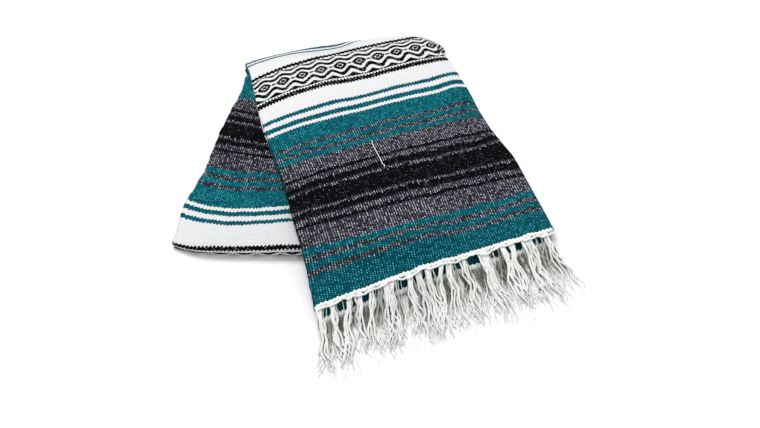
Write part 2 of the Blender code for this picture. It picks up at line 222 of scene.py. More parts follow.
def upper_point(across, along, depth):
    """A point of the upper stretch at a depth under its top, rolled over past the crease."""
    at_corner = ease((across - CORNER_FROM) / (1 - CORNER_FROM)) * ease((along - CORNER) / (55 * MM))
    across -= CORNER_IN * at_corner
    start = roll_start(across)
    past = along - start
    plan = lay(UPPER, across, min(along, start))
    base = lift(plan, along)
    below = depth * thickness(across)
    top = base + PACK * thickness(across)
    if past <= 0:
        return Vector((plan.x, plan.y, top - below))
    radius = top / 2
    angle = past / ROLL_LENGTH * math.pi
    centre = plan.lerp(lay(LOWER, across, turn_start(across)), angle / math.pi)
    plan = centre + outward(crease, across) * (radius - below) * math.sin(angle)
    return Vector((plan.x, plan.y, radius + (radius - below) * math.cos(angle)))


def edge_point(along, out, depth):
    """A point past the right end of the upper stretch's flat part, square to the long fold."""
    out *= 1 - CORNER_FLAT * ease((along - CORNER) / (40 * MM))
    ahead = upper_point(FOLDED, along + MM, FOLD_ROUND) - upper_point(FOLDED, along - MM, FOLD_ROUND)
    up = upper_point(FOLDED, along, 0) - upper_point(FOLDED, along, 2 * FOLD_ROUND)
    point = upper_point(FOLDED, along, depth) + ahead.cross(up).normalized() * out
    point.z = max(point.z, 0)
    return point


def pinch(across, along):
    """Share of its height that the near fold keeps at its left corner."""
    return 1 - PINCH * ease(1 - across / PINCH_WIDTH) * ease((along - NEAR_FOLD) / PINCH_LENGTH + 1)


def lower_point(across, along, height):
    """A point of the lower stretch at a height over the floor, turned down past the near fold."""
    past = along - NEAR_FOLD
    plan = lay(LOWER, across, min(along, NEAR_FOLD))
    height *= thickness(across) * pinch(across, along)
    if past <= 0:
        return Vector((plan.x, plan.y, height))
    middle = HALF_PACK * thickness(across) * pinch(across, along)
    angle = past / HALF_PACK
    flatter = 1 - NEAR_FLAT * ease((angle - 0.7) / 1.2)
    plan = plan - outward(near_fold, across) * (height - middle) * math.sin(angle) * flatter
    return Vector((plan.x, plan.y, middle + (height - middle) * math.cos(angle)))


def spread(start, end, count):
    """Evenly spaced values, both ends included."""
    return [start + (end - start) * i / count for i in range(count + 1)]


def show(name, data):
    """Puts a mesh, a lamp or a camera into the scene."""
    thing = bpy.data.objects.new(name, data)
    bpy.context.scene.collection.objects.link(thing)
    return thing


def keep(bm, name, material):
    """Turns a finished mesh into a piece that rides on the blanket."""
    bmesh.ops.recalc_face_normals(bm, faces=bm.faces)
    if bm.calc_volume(signed=True) < 0:
        bmesh.ops.reverse_faces(bm, faces=bm.faces)
    mesh = bpy.data.meshes.new(name)
    bm.to_mesh(mesh)
    bm.free()
    mesh.shade_smooth()
    mesh.materials.append(material)
    piece = show(name, mesh)
    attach(piece, "root")
    return piece


def laid_grid(name, columns, rows, place, measure, material, is_wall=True):
    """A piece made from a grid, with a UV map in metres. Its columns and rows are any values.

    place(column, row, side) moves each point, and measure(column, row) gives it on the flat cloth.
    A wall is doubled, and its inside has side 1. Otherwise the grid's two long edges join.
    """
    bm = bmesh.new()
    wide, high = len(columns) - 1, len(rows) - 1
    bmesh.ops.create_grid(bm, x_segments=wide, y_segments=high, size=0.5)
    inside = bmesh.ops.extrude_face_region(bm, geom=bm.faces[:])["geom"] if is_wall else ()
    inner = {item for item in inside if isinstance(item, bmesh.types.BMVert)}
    spots = {}
    for vert in bm.verts:
        spots[vert] = columns[round((vert.co.x + 0.5) * wide)], rows[round((vert.co.y + 0.5) * high)]
    chart = bm.loops.layers.uv.new("cloth")
    measured = lru_cache(maxsize=None)(measure)
    for face in bm.faces:
        for loop in face.loops:
            loop[chart].uv = measured(*spots[loop.vert])
    for vert, spot in spots.items():
        vert.co = place(*spot, 1 if vert in inner else 0)
    if not is_wall:
        bmesh.ops.remove_doubles(bm, verts=bm.verts, dist=0.001 * MM)
        bmesh.ops.holes_fill(bm, edges=[edge for edge in bm.edges if edge.is_boundary], sides=0)
    return keep(bm, name, material)


def stretch(flat, turned):
    """Columns or rows of a piece that ends in a turn: a share of the flat part, how far round."""
    return [(share, 0.0) for share in flat] + [(flat[-1], angle) for angle in turned[1:]]


def ripple(across, along, seed):
    """Soft unevenness of a layer that lies on others, 0 to 1."""
    return 0.5 + 0.5 * uneven(across * 3.1, along * 5.5, seed)


# Soft ridges of the upper stretch. Columns: distance from the hem at the left and at the right
# edge, half width, height, all in millimetres, and the shares of the width where it fades.
RIDGES = (
    (62, 40, 16, 1.6, -0.2, 0.7),
    (118, 140, 20, 1.4, 0.35, 1.2),
    (210, 190, 18, 1.2, -0.3, 0.6),
    (262, 286, 22, 1.5, 0.3, 1.3),
    (345, 350, 20, 1.3, 0.0, 0.9),
)


def upper_relief(across, along):
    """How far the top layer of the upper stretch stands proud of its pack."""
    height = 1.1 * ripple(across, along, 3.0)
    for left, right, half_width, rise, start, end in RIDGES:
        middle = (left + (right - left) * across) * MM
        off = (along - middle) / (half_width * MM)
        fade = ease((across - start) / 0.25) * ease((end - across) / 0.25)
        height += rise * math.exp(-off * off) * fade
    return height * MM


# Where the beaten weft wanders: how much further from the hem each stripe lies, in millimetres. Each
# row is a distance from the hem and the wander at the distances from the left edge in the first row.
UPPER_WANDER = (
    (0, 0, 55, 110, 164, 191, 218, 245, 272, 325),
    (0, 0, 0, 0, 0, 0, 0, 0, 0, 0),
    (40, -5, -8, -11, -12, -11, -7, -6, -5, -4),
    (65, -9, -14, -14, -16, -14, -7, -4, -6, -3),
    (107, -5, -5, -5, -6, -11, -6, -1, -1, -6),
    (129, -2, -3, -3, -5, -10, -10, -3, -1, -3),
    (175, -4, 0, 1, 0, -4, -8, -6, -1, 4),
    (198, -5, -2, -3, -4, -5, -8, -10, -6, 1),
    (241, -3, -2, -3, -4, -4, -7, -10, -10, 1),
    (306, -2, 1, 0, -4, -4, -5, -6, -8, -2),
    (335, -2, 0, -1, -7, -7, -6, -7, -7, -3),
    (376, 1, 4, 3, -4, -7, -6, -5, -4, -5),
    (408, 4, 5, 4, 1, 0, 0, 0, 0, 0),
    (438, -2, 2, 0, -4, -5, -5, -6, -7, -8),
)
LOWER_WANDER = (
    (0, 0, 40, 65, 90, 120, 150),
    (588, 3, 3, 2, 0, 0, 0),
    (618, -5, -2, 0, 0, 0, 0),
    (640, -7, -5, -4, -4, -4, -4),
    (680, -6, -3, -4, -4, -4, -4),
    (708, -5, -3, -3, -4, -5, -6),
    (745, -1, 1, 1, -3, -5, -6),
    (775, 0, 2, 2, -1, -4, -6),
    (818, -1, 1, 2, 0, -3, -7),
    (846, -7, -5, -3, -4, -7, -11),
    (880, 3, 3, 2, 1, 0, -2),
)
# The cloth bends over the crest earlier than the sections say, so more of it lies up to there.
# Columns: share of the width, length taken up, and the distances from the hem between which.
SLACK = (
    (0.0, 24, 470, 490),
    (0.23, 34, 458, 482),
    (0.4, 40, 437, 466),
    (0.5, 44, 436, 460),
    (0.6, 20, 438, 462),
    (0.7, 8, 440, 464),
    (0.85, 0, 440, 466),
    (1.0, 0, 440, 470),
)


def wander(rows, across, along):
    """How far the stripes lie from their places in the even pattern."""
    columns = rows[0][1:]
    rows = rows[1:]
    from_edge = min(max(across * STRIP_WIDTH / MM, columns[0]), columns[-1])
    at = max(i for i, column in enumerate(columns[:-1]) if column <= from_edge)
    side = ease((from_edge - columns[at]) / (columns[at + 1] - columns[at]))
    values = read_table(rows, min(max(along / MM, rows[0][0]), rows[-1][0]))
    return (values[at] + (values[at + 1] - values[at]) * side) * MM


def crest_slack(across, along):
    """How much more cloth lies up to a place over the crest than the sections say."""
    length, start, end = read_table(SLACK, min(across, 1.0))
    return length * MM * ease((along / MM - start) / (end - start))


EDGE_SHARE = 0.02  # share of the width in which a wavy selvedge settles to the even strip
STAND_OUT = 7 * MM  # how far layers reach past the left edge, where the roll meets the lower stretch
STAND_OUT_LENGTH = 45 * MM
END_OUT = 4 * MM  # how far they reach out again near the lower stretch's end
END_MIDDLE, END_SPREAD = 828 * MM, 42 * MM  # where that is


def stand_out(past, along):
    """How far the lower stretch reaches past its left edge: next to the roll and near its end."""
    off = (along - END_MIDDLE) / END_SPREAD
    return STAND_OUT * (1 - ease(past / STAND_OUT_LENGTH)) + END_OUT * math.exp(-off * off)


def scallop(along, seed):
    """How far a selvedge wanders in and out."""
    fine = uneven(along * 170, seed, 0)
    broad = uneven(along * 55, seed, 4)
    return (1.1 * fine + 2.0 * broad) * MM


def upper_cloth(material):
    """Top layer of the upper stretch: round the long fold at the right and over the crease."""

    def along_at(across, row):
        share, rolled = row
        return share * roll_start(across) + rolled * ROLL_LENGTH

    def place(column, row, side):
        across, angle = column
        along = along_at(across, row)
        proud = upper_relief(across, along) * (1 - ease(row[1] / 0.6))
        skin = CLOTH * side
        if angle == 0:
            across += scallop(along, 1.0) * (1 - ease(across / EDGE_SHARE)) / STRIP_WIDTH
            return upper_point(across, along, skin - proud)
        radius = FOLD_ROUND - skin + proud * math.cos(angle / 2) ** 2
        return edge_point(along, radius * math.sin(angle), FOLD_ROUND - radius * math.cos(angle))

    def measure(column, row):
        across, angle = column
        along = along_at(across, row)
        return (across * STRIP_WIDTH + angle * FOLD_ROUND,
                along + crest_slack(across, along) - wander(UPPER_WANDER, across, along))

    return laid_grid("upper_cloth", stretch(spread(0, FOLDED, 120), spread(0, math.pi, 14)),
                     stretch(spread(0, 1, 190), spread(0, ROLL_END, 26)), place, measure, material)


def lower_cloth(material):
    """Top layer of the lower stretch: round its right edge and down the near fold."""

    def along_at(across, row):
        share, turned = row
        start = turn_start(min(across, 1.0)) + TURN_GAP
        return start + share * (NEAR_FOLD - start) + turned * HALF_PACK

    def place(column, row, side):
        across, angle = column
        along = along_at(across, row)
        proud = 1.2 * MM * ripple(across, along, 9.0) * (1 - ease((across - 0.5) / 0.3))
        proud *= 1 - ease((along - NEAR_FOLD) / PACK)
        radius = HALF_PACK - CLOTH * side
        height = HALF_PACK + radius + proud
        if angle:
            across += radius * math.sin(angle) / STRIP_WIDTH
            height = HALF_PACK + radius * math.cos(angle)
        else:
            out = stand_out(along - turn_start(across), along)
            across += (scallop(along, 5.0) - out) * (1 - ease(across / EDGE_SHARE)) / STRIP_WIDTH
        return lower_point(across, along_at(across, row), height)

    def measure(column, row):
        across, angle = column
        along = along_at(across, row)
        return across * STRIP_WIDTH + angle * HALF_PACK, along - wander(LOWER_WANDER, across, along)

    end = math.pi * TURN_SHARE
    return laid_grid("lower_cloth", stretch(spread(0, LOWER_EDGE, 100), spread(0, end, 10)),
                     stretch(spread(0, 1, 110), spread(0, end, 22)), place, measure, material)


# Edges of the hidden layers at the left, from the top down. Columns: depth of the layer's top
# and underside, how far its edge stands back from the top layer's, all in millimetres.
LEFT_LAYERS = (
    (2.6, 4.4, 0.6),
    (4.9, 8.9, 1.6),
    (9.3, 13.3, 0.4),
    (13.8, 15.4, 2.2),
    (15.8, 17.6, 0.2),
)
GROOVE = 7 * MM  # depth of the gap between two layers at their edges
LAYER_SHIFTS = (0.0, 0.004, -0.003, 0.006, 0.002)  # how far the stripes of each layer are moved on, in metres
BIG_FOLD_EXTRA = 60 * MM  # how much longer the way of the hidden layers is round the big fold
MOST_OUT = 0.5 * MM  # how far a hidden layer's edge may reach past its place
# Long folds at the right of the hidden layers, upwards: distance out from the flat, depth.
RIGHT_FOLDS = (
    (-0.5, 17.9), (1.6, 17.6), (3.2, 16.6), (4.1, 15.0), (4.4, 13.4), (3.9, 11.8), (2.6, 10.4),
    (0.4, 9.6), (-1.5, 9.4), (-0.6, 6.7), (0.8, 6.1), (1.3, 4.8), (0.8, 3.5),
)


def layered_outline():
    """Outline of the hidden layers, closed.

    Each point has its share of the width, its depth, the number of its layer, whether it is on the
    wavy left edge, and on the right edge the share of the way up, else None.
    """
    flat = (0.008, *spread(0.03, FOLDED, 24))
    points = []
    for number, (top, under, back) in enumerate(LEFT_LAYERS):
        middle, half = (top + under) / 2, (under - top) / 2
        if number:
            points.append(((back * MM + GROOVE) / STRIP_WIDTH, (top - 0.2) * MM, number, True, None))
        for angle in spread(-math.pi / 2, math.pi / 2, 6):
            out = back + half * (1 - math.cos(angle))
            depth = (middle + half * math.sin(angle)) * MM
            points.append((out * MM / STRIP_WIDTH, depth, number, True, None))
    last = len(LEFT_LAYERS) - 1
    points += [(across, PACK, last, across == flat[0], None) for across in flat]
    points += [(FOLDED + out * MM / STRIP_WIDTH, depth * MM, last, False, at / (len(RIGHT_FOLDS) - 1))
               for at, (out, depth) in enumerate(RIGHT_FOLDS)]
    points += [(across, NEAR, 0, False, None) for across in reversed(flat)]
    return points + points[:1]


def hidden_cloth(material):
    """The layers inside the folded strip, from the hem over the crease to the near fold."""
    inner_radius = HALF_PACK - NEAR
    rows = [("upper", share) for share in spread(0, 1, 90)]
    rows += [("roll", share) for share in spread(0, ROLL_END, 14)[1:]]
    rows += [("lower", share) for share in spread(0, 1, 60)]
    rows += [("end", reach * MM) for reach in (0.2, 1.6, 3.0, 3.9, 4.5)]

    def stagger(number, along):
        """Share of the width by which a layer's edge lies in or out of line along the strip."""
        broad = 1.3 * MM * uneven(along * 16, number * 3.7, 1)
        return max(broad + 0.6 * scallop(along, number + 11), -MOST_OUT) / STRIP_WIDTH

    @lru_cache(maxsize=None)
    def spot(column, row):
        """Place of a point, and its distance along the cloth."""
        across, depth, number, is_left, turn = column
        part, share = row
        past_edge = max(across - FOLDED, 0) * STRIP_WIDTH
        if part in ("upper", "roll"):
            start = roll_start(min(across, FOLDED))
            along = start * share if part == "upper" else start + share * ROLL_LENGTH
            if is_left:
                out = STAND_OUT * ease((share - 0.3) / 0.5) if part == "roll" else 0
                across += stagger(number, along) - out / STRIP_WIDTH
            if part == "roll":
                depth = min(depth, PACK - MM)
            elif share == 0:  # the layers end just inside the hem, in a blunt edge
                depth = HALF_PACK + (depth - HALF_PACK) * 0.9
                along = 3.5 * MM
            point = edge_point(along, past_edge, depth) if past_edge else upper_point(across, along, depth)
            if depth == PACK and across < FOLDED and past_lower(point.xy) > FILL_START:
                point.z = 0
            return point, along
        height = depth - NEAR  # past the big fold the layers lie the other way up
        if turn is None:
            across = min(across, LOWER_EDGE - 2 * MM / STRIP_WIDTH)
        else:
            height = inner_radius * 2 * (1 - turn) + NEAR
            reach = math.sqrt(max(inner_radius**2 - (height - HALF_PACK) ** 2, 0))
            across = LOWER_EDGE + (reach - 2 * GAP) / STRIP_WIDTH
        if part == "lower":
            start = turn_start(across) + TURN_GAP
            along = start + share * (NEAR_FOLD - start)
            if is_left:
                across += stagger(number, along) - stand_out(along - start, along) / STRIP_WIDTH
            return lower_point(across, along, height), along
        squeeze = math.sqrt(inner_radius**2 - share**2) / inner_radius
        height = HALF_PACK + (height - HALF_PACK) * squeeze
        plan = near_fold(across) - outward(near_fold, across) * share
        height *= thickness(across) * pinch(across, NEAR_FOLD)
        return Vector((plan.x, plan.y, height)), NEAR_FOLD + share

    def measure(column, row):
        across, depth, number, _, _ = column
        _, along = spot(column, row)
        extra = BIG_FOLD_EXTRA * ease((along - 400 * MM) / (60 * MM)) if along < LOWER_START else 0
        return across * STRIP_WIDTH + depth, along + extra + LAYER_SHIFTS[number]

    return laid_grid("layered_edges", layered_outline(), rows, lambda column, row, _: spot(column, row)[0],
                     measure, material, is_wall=False)


# Rows of the second end, in millimetres. Columns: distance past the first hem, height over what is
# under it, and the share of the upper stretch's height that is under it.
SECOND_SLOPE = (
    (-15.0, 2.5, 0), (-13.0, 2.8, 0.02), (-11.0, 3.4, 0.1), (-8.5, 4.5, 0.28), (-6.0, 5.9, 0.5),
    (-3.0, 7.3, 0.72), (0.0, 8.4, 0.9), (3.0, 9.0, 1),
)


def second_cloth(material):
    """The second fringed end, which shows under the first and slopes to the floor."""

    def place(across, row, side):
        along, height, raised = row
        plan = lay(UPPER, across, along * MM)
        base = lift(lay(UPPER, across, 0), 0) * raised
        return Vector((plan.x, plan.y, base + height * MM - CLOTH * side))

    def measure(across, row):
        return across * STRIP_WIDTH, (row[0] - SECOND_SLOPE[0][0]) * MM

    return laid_grid("second_cloth", spread(0.010, 0.982, 110), SECOND_SLOPE, place, measure, material)


HEM_RADIUS = 3.1 * MM
SECOND_HEM_RADIUS = 3.9 * MM
TWINE = 5.6 * MM  # length of half a turn of the twined hem
STITCH_RADIUS = 1.5 * MM  # of the loose strand under the hem
STITCH_TWINE = 3.4 * MM


def twined(name, middle, radius, half_turn, rows, material):
    """Two strands of white yarn twined along a line, given by the share of its length."""
    length = (middle(1.0) - middle(0.0)).length
    up = Vector((0, 0, 1))

    def place(way_round, share, _):
        ahead = (middle(min(share + 0.004, 1)) - middle(max(share - 0.004, 0))).normalized()
        out = ahead.cross(up).normalized()
        angle = 2 * math.pi * way_round
        twist = math.pi * share * length / half_turn
        lobe = 0.56 + 0.44 * abs(math.cos(angle - twist))
        end = min(1.0, math.sqrt(min(share, 1 - share) * 60))
        reach = radius * lobe * (0.35 + 0.65 * end) * (1 + 0.3 * uneven(share * 60, 2, 7))
        return middle(share) + (out * math.cos(angle) * 1.1 + up * math.sin(angle) * 0.92) * reach

    def measure(way_round, share):
        return way_round * 16 * MM, share * length

    return laid_grid(name, spread(0, 1, 12), spread(0, 1, rows), place, measure, material, is_wall=False)


SIDES = 5  # faces round one yarn of the fringe
STEPS = 12  # sections along it
LEAN = Vector((0.17, -0.985)).normalized()  # direction of the fringe on the floor
FAN = 0.16  # turn of the fringe from its left end to its right one, in radians
LANDING = 50 * MM  # from the hem to where the fringe lies flat
BUNDLES = 20  # bunches of yarn along one hem
KINK = 0.55 * MM  # how far the crimp left by the twist moves a yarn
ROOT_WIDTH = 7.5 * MM  # of a bundle at the hem
STRAY_WIDTH = 10 * MM  # how much wider its stray yarns start
# Middle value and spread of what varies from yarn to yarn or from bundle to bundle, in millimetres.
SWING = (1.3, 0.8)  # how far a yarn waves to the side
WAVE_LENGTH = (29, 8)
BUNDLE_WAVE_LENGTH = (66, 16)
FAN_OUT = (6.0, 5.0)  # how much wider a bundle is at its tips
BUNDLE_SWING = 2.6 * MM


def yarn_template(count):
    """A mesh with many straight yarns, numbered by a layer, each standing on its own spot."""
    bm = bmesh.new()
    number = bm.verts.layers.int.new("yarn")
    bmesh.ops.create_circle(bm, segments=SIDES, radius=1, cap_ends=True)
    edges = bm.edges[:]
    for level in range(1, STEPS + 1):
        grown = bmesh.ops.extrude_edge_only(bm, edges=edges)["geom"]
        verts = [item for item in grown if isinstance(item, bmesh.types.BMVert)]
        bmesh.ops.translate(bm, verts=verts, vec=(0, 0, 1))
        edges = [item for item in grown if isinstance(item, bmesh.types.BMEdge)
                 and min(vert.co.z for vert in item.verts) > level - 0.5]
    bmesh.ops.contextual_create(bm, geom=edges)
    made = 1
    while made < count:
        wanted = min(made, count - made)
        source = [vert for vert in bm.verts if vert[number] < wanted]
        faces = {face for vert in source for face in vert.link_faces}
        edges = {edge for vert in source for edge in vert.link_edges}
        copy = bmesh.ops.duplicate(bm, geom=source + list(edges) + list(faces))["geom"]
        for item in copy:
            if isinstance(item, bmesh.types.BMVert):
                item[number] += made
        made += wanted
    return bm, number


def scatter(number, seed):
    """A steady value from -1 to 1 for a yarn or a bundle."""
    return 2 * ((math.sin(number * 12.9898 + seed * 78.233) * 43758.5453) % 1) - 1


def vary(values, number, seed):
    """A measure of a yarn or a bundle around its middle value."""
    middle, spread_by = values
    return (middle + spread_by * scatter(number, seed)) * MM


# Rows of bundles on each hem. Columns: yarns in a bundle, thickness of a yarn, how far the row's
# bundles stand aside from the first row's (share of their distance), length, where it starts
# past the hem, how high it lies on what is under it, and how much painted shade its yarn gets (share).
FIRST_ROWS = (
    (4, 2.9, 0.0, 90, 0.0, 8.5, 0.0),
    (2, 2.3, 0.55, 80, 0.5, 4.5, 0.7),
    (2, 0.8, 0.25, 98, 0.5, 3.0, 0.0),
)
SECOND_ROWS = (
    (5, 2.5, 0.35, 76, 0.0, 3.2, 0.9),
    (6, 2.0, 0.85, 74, 1.5, 1.2, 1.2),
    (2, 0.8, 0.6, 90, 1.5, 0.8, 0.2),
)


def bundle_yarns(rows, root, first_share, last_share, seed):
    """Middle line, thickness and painted shade of every yarn of a fringe."""
    lines = []
    for row_number, (strands, thick, aside, length, start_past, level, shade) in enumerate(rows):
        for bundle in range(BUNDLES):
            mark = bundle + row_number * 40 + seed * 90
            share = (bundle + 0.5 + 0.5 * aside + 0.42 * scatter(mark, 1)) / (BUNDLES + 0.5)
            share = first_share + (last_share - first_share) * share
            longer = 1 + 0.16 * share
            turn = FAN * (share - 0.5) + 0.07 * math.sin(bundle * 1.1 + seed) + 0.15 * scatter(mark, 2)
            for strand in range(strands):
                own = mark * 17 + strand
                points = one_yarn(root, share, (strand + 0.5) / strands - 0.5, own, mark, turn,
                                  length * longer, start_past, level, thick)
                radius = thick * (1 + 0.16 * scatter(own, 12)) / 2 * MM
                lines.append((points, radius, min(max(shade + 0.28 * scatter(own, 16), 0.0), 1.0)))
    return lines


def one_yarn(root, share, spot, own, mark, turn, length, start_past, level, thick):
    """The way of one yarn: gathered in its bundle near the hem, waving and spreading further out."""
    stray = 1 if scatter(own, 3) > 0.76 else 0
    root_width = ROOT_WIDTH + STRAY_WIDTH * stray
    start = root(min(max(share + spot * root_width / STRIP_WIDTH, 0.004), 0.996))
    turn += spot * 0.10 + 0.03 * scatter(own, 4) + 0.16 * stray * scatter(own, 14)
    forward = Vector((LEAN.x * math.cos(turn) - LEAN.y * math.sin(turn),
                      LEAN.x * math.sin(turn) + LEAN.y * math.cos(turn)))
    sideways = Vector((-forward.y, forward.x))
    length *= (0.93 + 0.12 * scatter(mark, 5) + 0.11 * scatter(own, 6)) * MM
    swing, wave_length = vary(SWING, own, 7), vary(WAVE_LENGTH, own, 8)
    phase, bundle_phase = 3.14 * scatter(own, 9), 3.14 * scatter(mark, 10)
    bundle_length, fans_out = vary(BUNDLE_WAVE_LENGTH, mark, 15), vary(FAN_OUT, mark, 17)
    height = vary((level, 1.8), own, 11)
    ground = thick / 2 * MM
    points = []
    for step in range(STEPS + 1):
        far = length * step / STEPS
        gather = fans_out * ease((far - 20 * MM) / (60 * MM)) - 3.0 * MM * ease(far / (14 * MM))
        kink = KINK * ease(far / (12 * MM))
        wave = math.sin(2 * math.pi * far / wave_length + phase) * ease(far / (26 * MM))
        bundle_wave = math.sin(2 * math.pi * far / bundle_length + bundle_phase) * ease(far / (50 * MM))
        aside = spot * gather + swing * wave + BUNDLE_SWING * bundle_wave
        aside += kink * scatter(own * 13 + step, 18)
        plan = start.xy + forward * (far + start_past * MM) + sideways * aside
        down = ease(far / LANDING)
        lain = height * (1 - 0.55 * ease(step / STEPS)) + 1.3 * kink * scatter(own * 13 + step, 19)
        z = start.z * (1 - down) + lain * down
        points.append(Vector((plan.x, plan.y, max(z, ground))))
    return points


def fringe_yarns(name, lines, material):
    """Loose yarns along their middle lines, thinner towards their tips.

    Two attributes serve the yarn's finish: the place round and along each yarn, and its painted shade.
    """
    bm, number = yarn_template(len(lines))
    ply = bm.verts.layers.float_vector.new("ply")
    shaded = bm.verts.layers.float.new("shaded")
    for vert in bm.verts:
        points, radius, shade = lines[vert[number]]
        step = round(vert.co.z)
        ahead = (points[min(step + 1, STEPS)] - points[max(step - 1, 0)]).normalized()
        out = ahead.cross(Vector((0, 0, 1))).normalized()
        up = out.cross(ahead)
        far = step / STEPS
        vert[ply] = (vert.co.x, vert.co.y, far * (points[-1] - points[0]).length)
        # Painted shade: none at the root, and fading out towards the tips.
        vert[shaded] = shade * ease(far / 0.10) * (1 - ease((far - 0.38) / 0.42))
        taper = 1 - 0.6 * ease((far - 0.7) / 0.3)
        vert.co = points[step] + (out * vert.co.x + up * vert.co.y) * radius * taper
        vert.co.z = max(vert.co.z, 0.1 * MM)
    return keep(bm, name, material)


class Signal:
    """A value that runs through a node tree. Arithmetic on it adds Math nodes."""

    def __init__(self, socket):
        self.socket = socket

    def math(self, operation, *others, clamp=False):
        """One Math node on this value and others."""
        return calc(operation, self, *others, clamp=clamp)

    def __add__(self, other):
        return calc("ADD", self, other)

    def __sub__(self, other):
        return calc("SUBTRACT", self, other)

    def __rsub__(self, other):
        return calc("SUBTRACT", other, self)

    def __mul__(self, other):
        return calc("MULTIPLY", self, other)

    def __truediv__(self, other):
        return calc("DIVIDE", self, other)

    def __mod__(self, other):
        return calc("FLOORED_MODULO", self, other)

    def __pow__(self, other):
        return calc("POWER", self, other)

    def __gt__(self, other):
        return calc("GREATER_THAN", self, other)

    def __lt__(self, other):
        return calc("LESS_THAN", self, other)

    def __abs__(self):
        return calc("ABSOLUTE", self)


def add(tree, kind, **values):
    """A node with some of its settings."""
    node = tree.nodes.new(kind)
    for name, value in values.items():
        setattr(node, name, value)
    return node


def tree_of(values):
    """The node tree of the first signal among some values."""
    return next(value.socket.id_data for value in values if isinstance(value, Signal))


def feed(socket, value):
    """Gives a socket a number, a colour or a signal."""
    if isinstance(value, Signal):
        socket.id_data.links.new(value.socket, socket)
    else:
        socket.default_value = value


def calc(operation, *values, clamp=False):
    """One Math node on numbers or signals."""
    node = add(tree_of(values), "ShaderNodeMath", operation=operation, use_clamp=clamp)
    for socket, value in zip(node.inputs, values):
        feed(socket, value)
    return Signal(node.outputs[0])


def span(value, low, high):
    """0 at low, 1 at high, soft between."""
    node = add(tree_of([value]), "ShaderNodeMapRange", interpolation_type="SMOOTHSTEP")
    for name, given in (("Value", value), ("From Min", low), ("From Max", high)):
        feed(node.inputs[name], given)
    return Signal(node.outputs["Result"])


def blend(share, first, second):
    """Mixes two colours."""
    node = add(tree_of((share, first, second)), "ShaderNodeMix", data_type="RGBA")
    for at, given in ((0, share), (6, first), (7, second)):
        feed(node.inputs[at], given)
    return Signal(node.outputs[2])


def parts(vector):
    """The x, y and z of a vector."""
    node = add(tree_of([vector]), "ShaderNodeSeparateXYZ")
    feed(node.inputs[0], vector)
    return [Signal(output) for output in node.outputs]


def cloud(vector, scale, detail=2.0):
    """Noise from 0 to 1."""
    node = add(tree_of([vector]), "ShaderNodeTexNoise")
    for name, given in (("Vector", vector), ("Scale", scale), ("Detail", detail)):
        feed(node.inputs[name], given)
    return Signal(node.outputs["Fac"])


def arch(value):
    """0 at each whole number and 1 halfway between them."""
    return (value.math("FRACT") * math.pi).math("SINE")


FLOAT, COLOUR, VECTOR = "NodeSocketFloat", "NodeSocketColor", "NodeSocketVector"


def open_group(name, **inputs):
    """A node group with named inputs: returns the group and the inputs as signals."""
    group = bpy.data.node_groups.new(name, "ShaderNodeTree")
    for title, kind in inputs.items():
        group.interface.new_socket(title, in_out="INPUT", socket_type=kind)
    return group, {socket.name: Signal(socket) for socket in add(group, "NodeGroupInput").outputs}


def close_group(group, **outputs):
    """Gives a node group its named outputs."""
    for title, value in outputs.items():
        kind = COLOUR if value.socket.type == "RGBA" else FLOAT
        group.interface.new_socket(title, in_out="OUTPUT", socket_type=kind)
    end = add(group, "NodeGroupOutput")
    for title, value in outputs.items():
        feed(end.inputs[title], value)
    return group


def place_group(group, **values):
    """A group node among the nodes that feed it: returns its outputs by name."""
    node = add(tree_of(values.values()), "ShaderNodeGroup", node_tree=group)
    for title, value in values.items():
        feed(node.inputs[title], value)
    return {output.name: Signal(output) for output in node.outputs}


def new_material(name):
    """A material with nodes: returns it, its node tree and its shader."""
    material = bpy.data.materials.new(name)
    material.use_nodes = True
    return material, material.node_tree, material.node_tree.nodes["Principled BSDF"]


def finish_yarn(shader, colour, gloss, height, strength, depth):
    """Gives a shader the colour and the relief of matt yarn."""
    feed(shader.inputs["Base Color"], colour)
    shader.inputs["Roughness"].default_value = 0.95
    shader.inputs["Specular IOR Level"].default_value = gloss
    bump = add(shader.id_data, "ShaderNodeBump")
    bump.inputs["Strength"].default_value = strength
    bump.inputs["Distance"].default_value = depth
    feed(bump.inputs["Height"], height)
    feed(shader.inputs["Normal"], Signal(bump.outputs["Normal"]))


RIB = 3.4 * MM  # from one warp to the next
PICK = 3.1 * MM  # from one fleck to the next along a warp
TWILL = 11 * MM  # length along the cloth in which the weft's slant comes round again
TOOTH = 2.2 * MM  # how deep the slant makes the teeth at the edge of a stripe
DRIFT = 3.4 * MM  # how far the beaten weft drifts along the cloth
WOBBLE = 2.4 * MM  # how far ribs and flecks lie out of line
REPEAT = 512.2 * MM  # length of the whole stripe pattern
HALF = REPEAT / 2
DARK_MIDDLE = 152.1 * MM  # distance of the middle of the dark stripes from the hem
DARK_REACH = 125 * MM  # from there to where the edges of the stripes are less ragged
PLAIN_END = 12 * MM  # plain teal at the hem
NO_GREY = (530 * MM, 580 * MM)  # where a pair of grey stripes is missing
NEAR_BAND = 700 * MM  # the diamond band past this goes round the near fold
# Painted shade: between these the teal is darkened towards the hem and under it.
HEM_PAINTED_SHADE = (80 * MM, 30 * MM)  # between these the teal deepens towards the hem
# Painted shade: between these the slanting lines on the white yarn darken towards the near fold.
FOLD_SHADE = (838 * MM, 880 * MM)  # between these the hatch of the white yarn deepens

# The stripes from the middle of the dark group to the middle of the diamond band: distance
# where each starts, in millimetres, and its yarn. The other side is the mirror image.
STRIPES = (
    (0, "black"), (15.0, "grey"), (20.0, "black"), (31.5, "grey"), (42.0, "black"), (48.0, "grey"),
    (79.6, "teal"), (89.8, "grey"), (97.2, "teal"), (107.6, "grey"), (115.0, "teal"),
    (149.5, "white"), (156.3, "line"), (167.6, "white"), (178.2, "line"), (186.6, "white"),
)
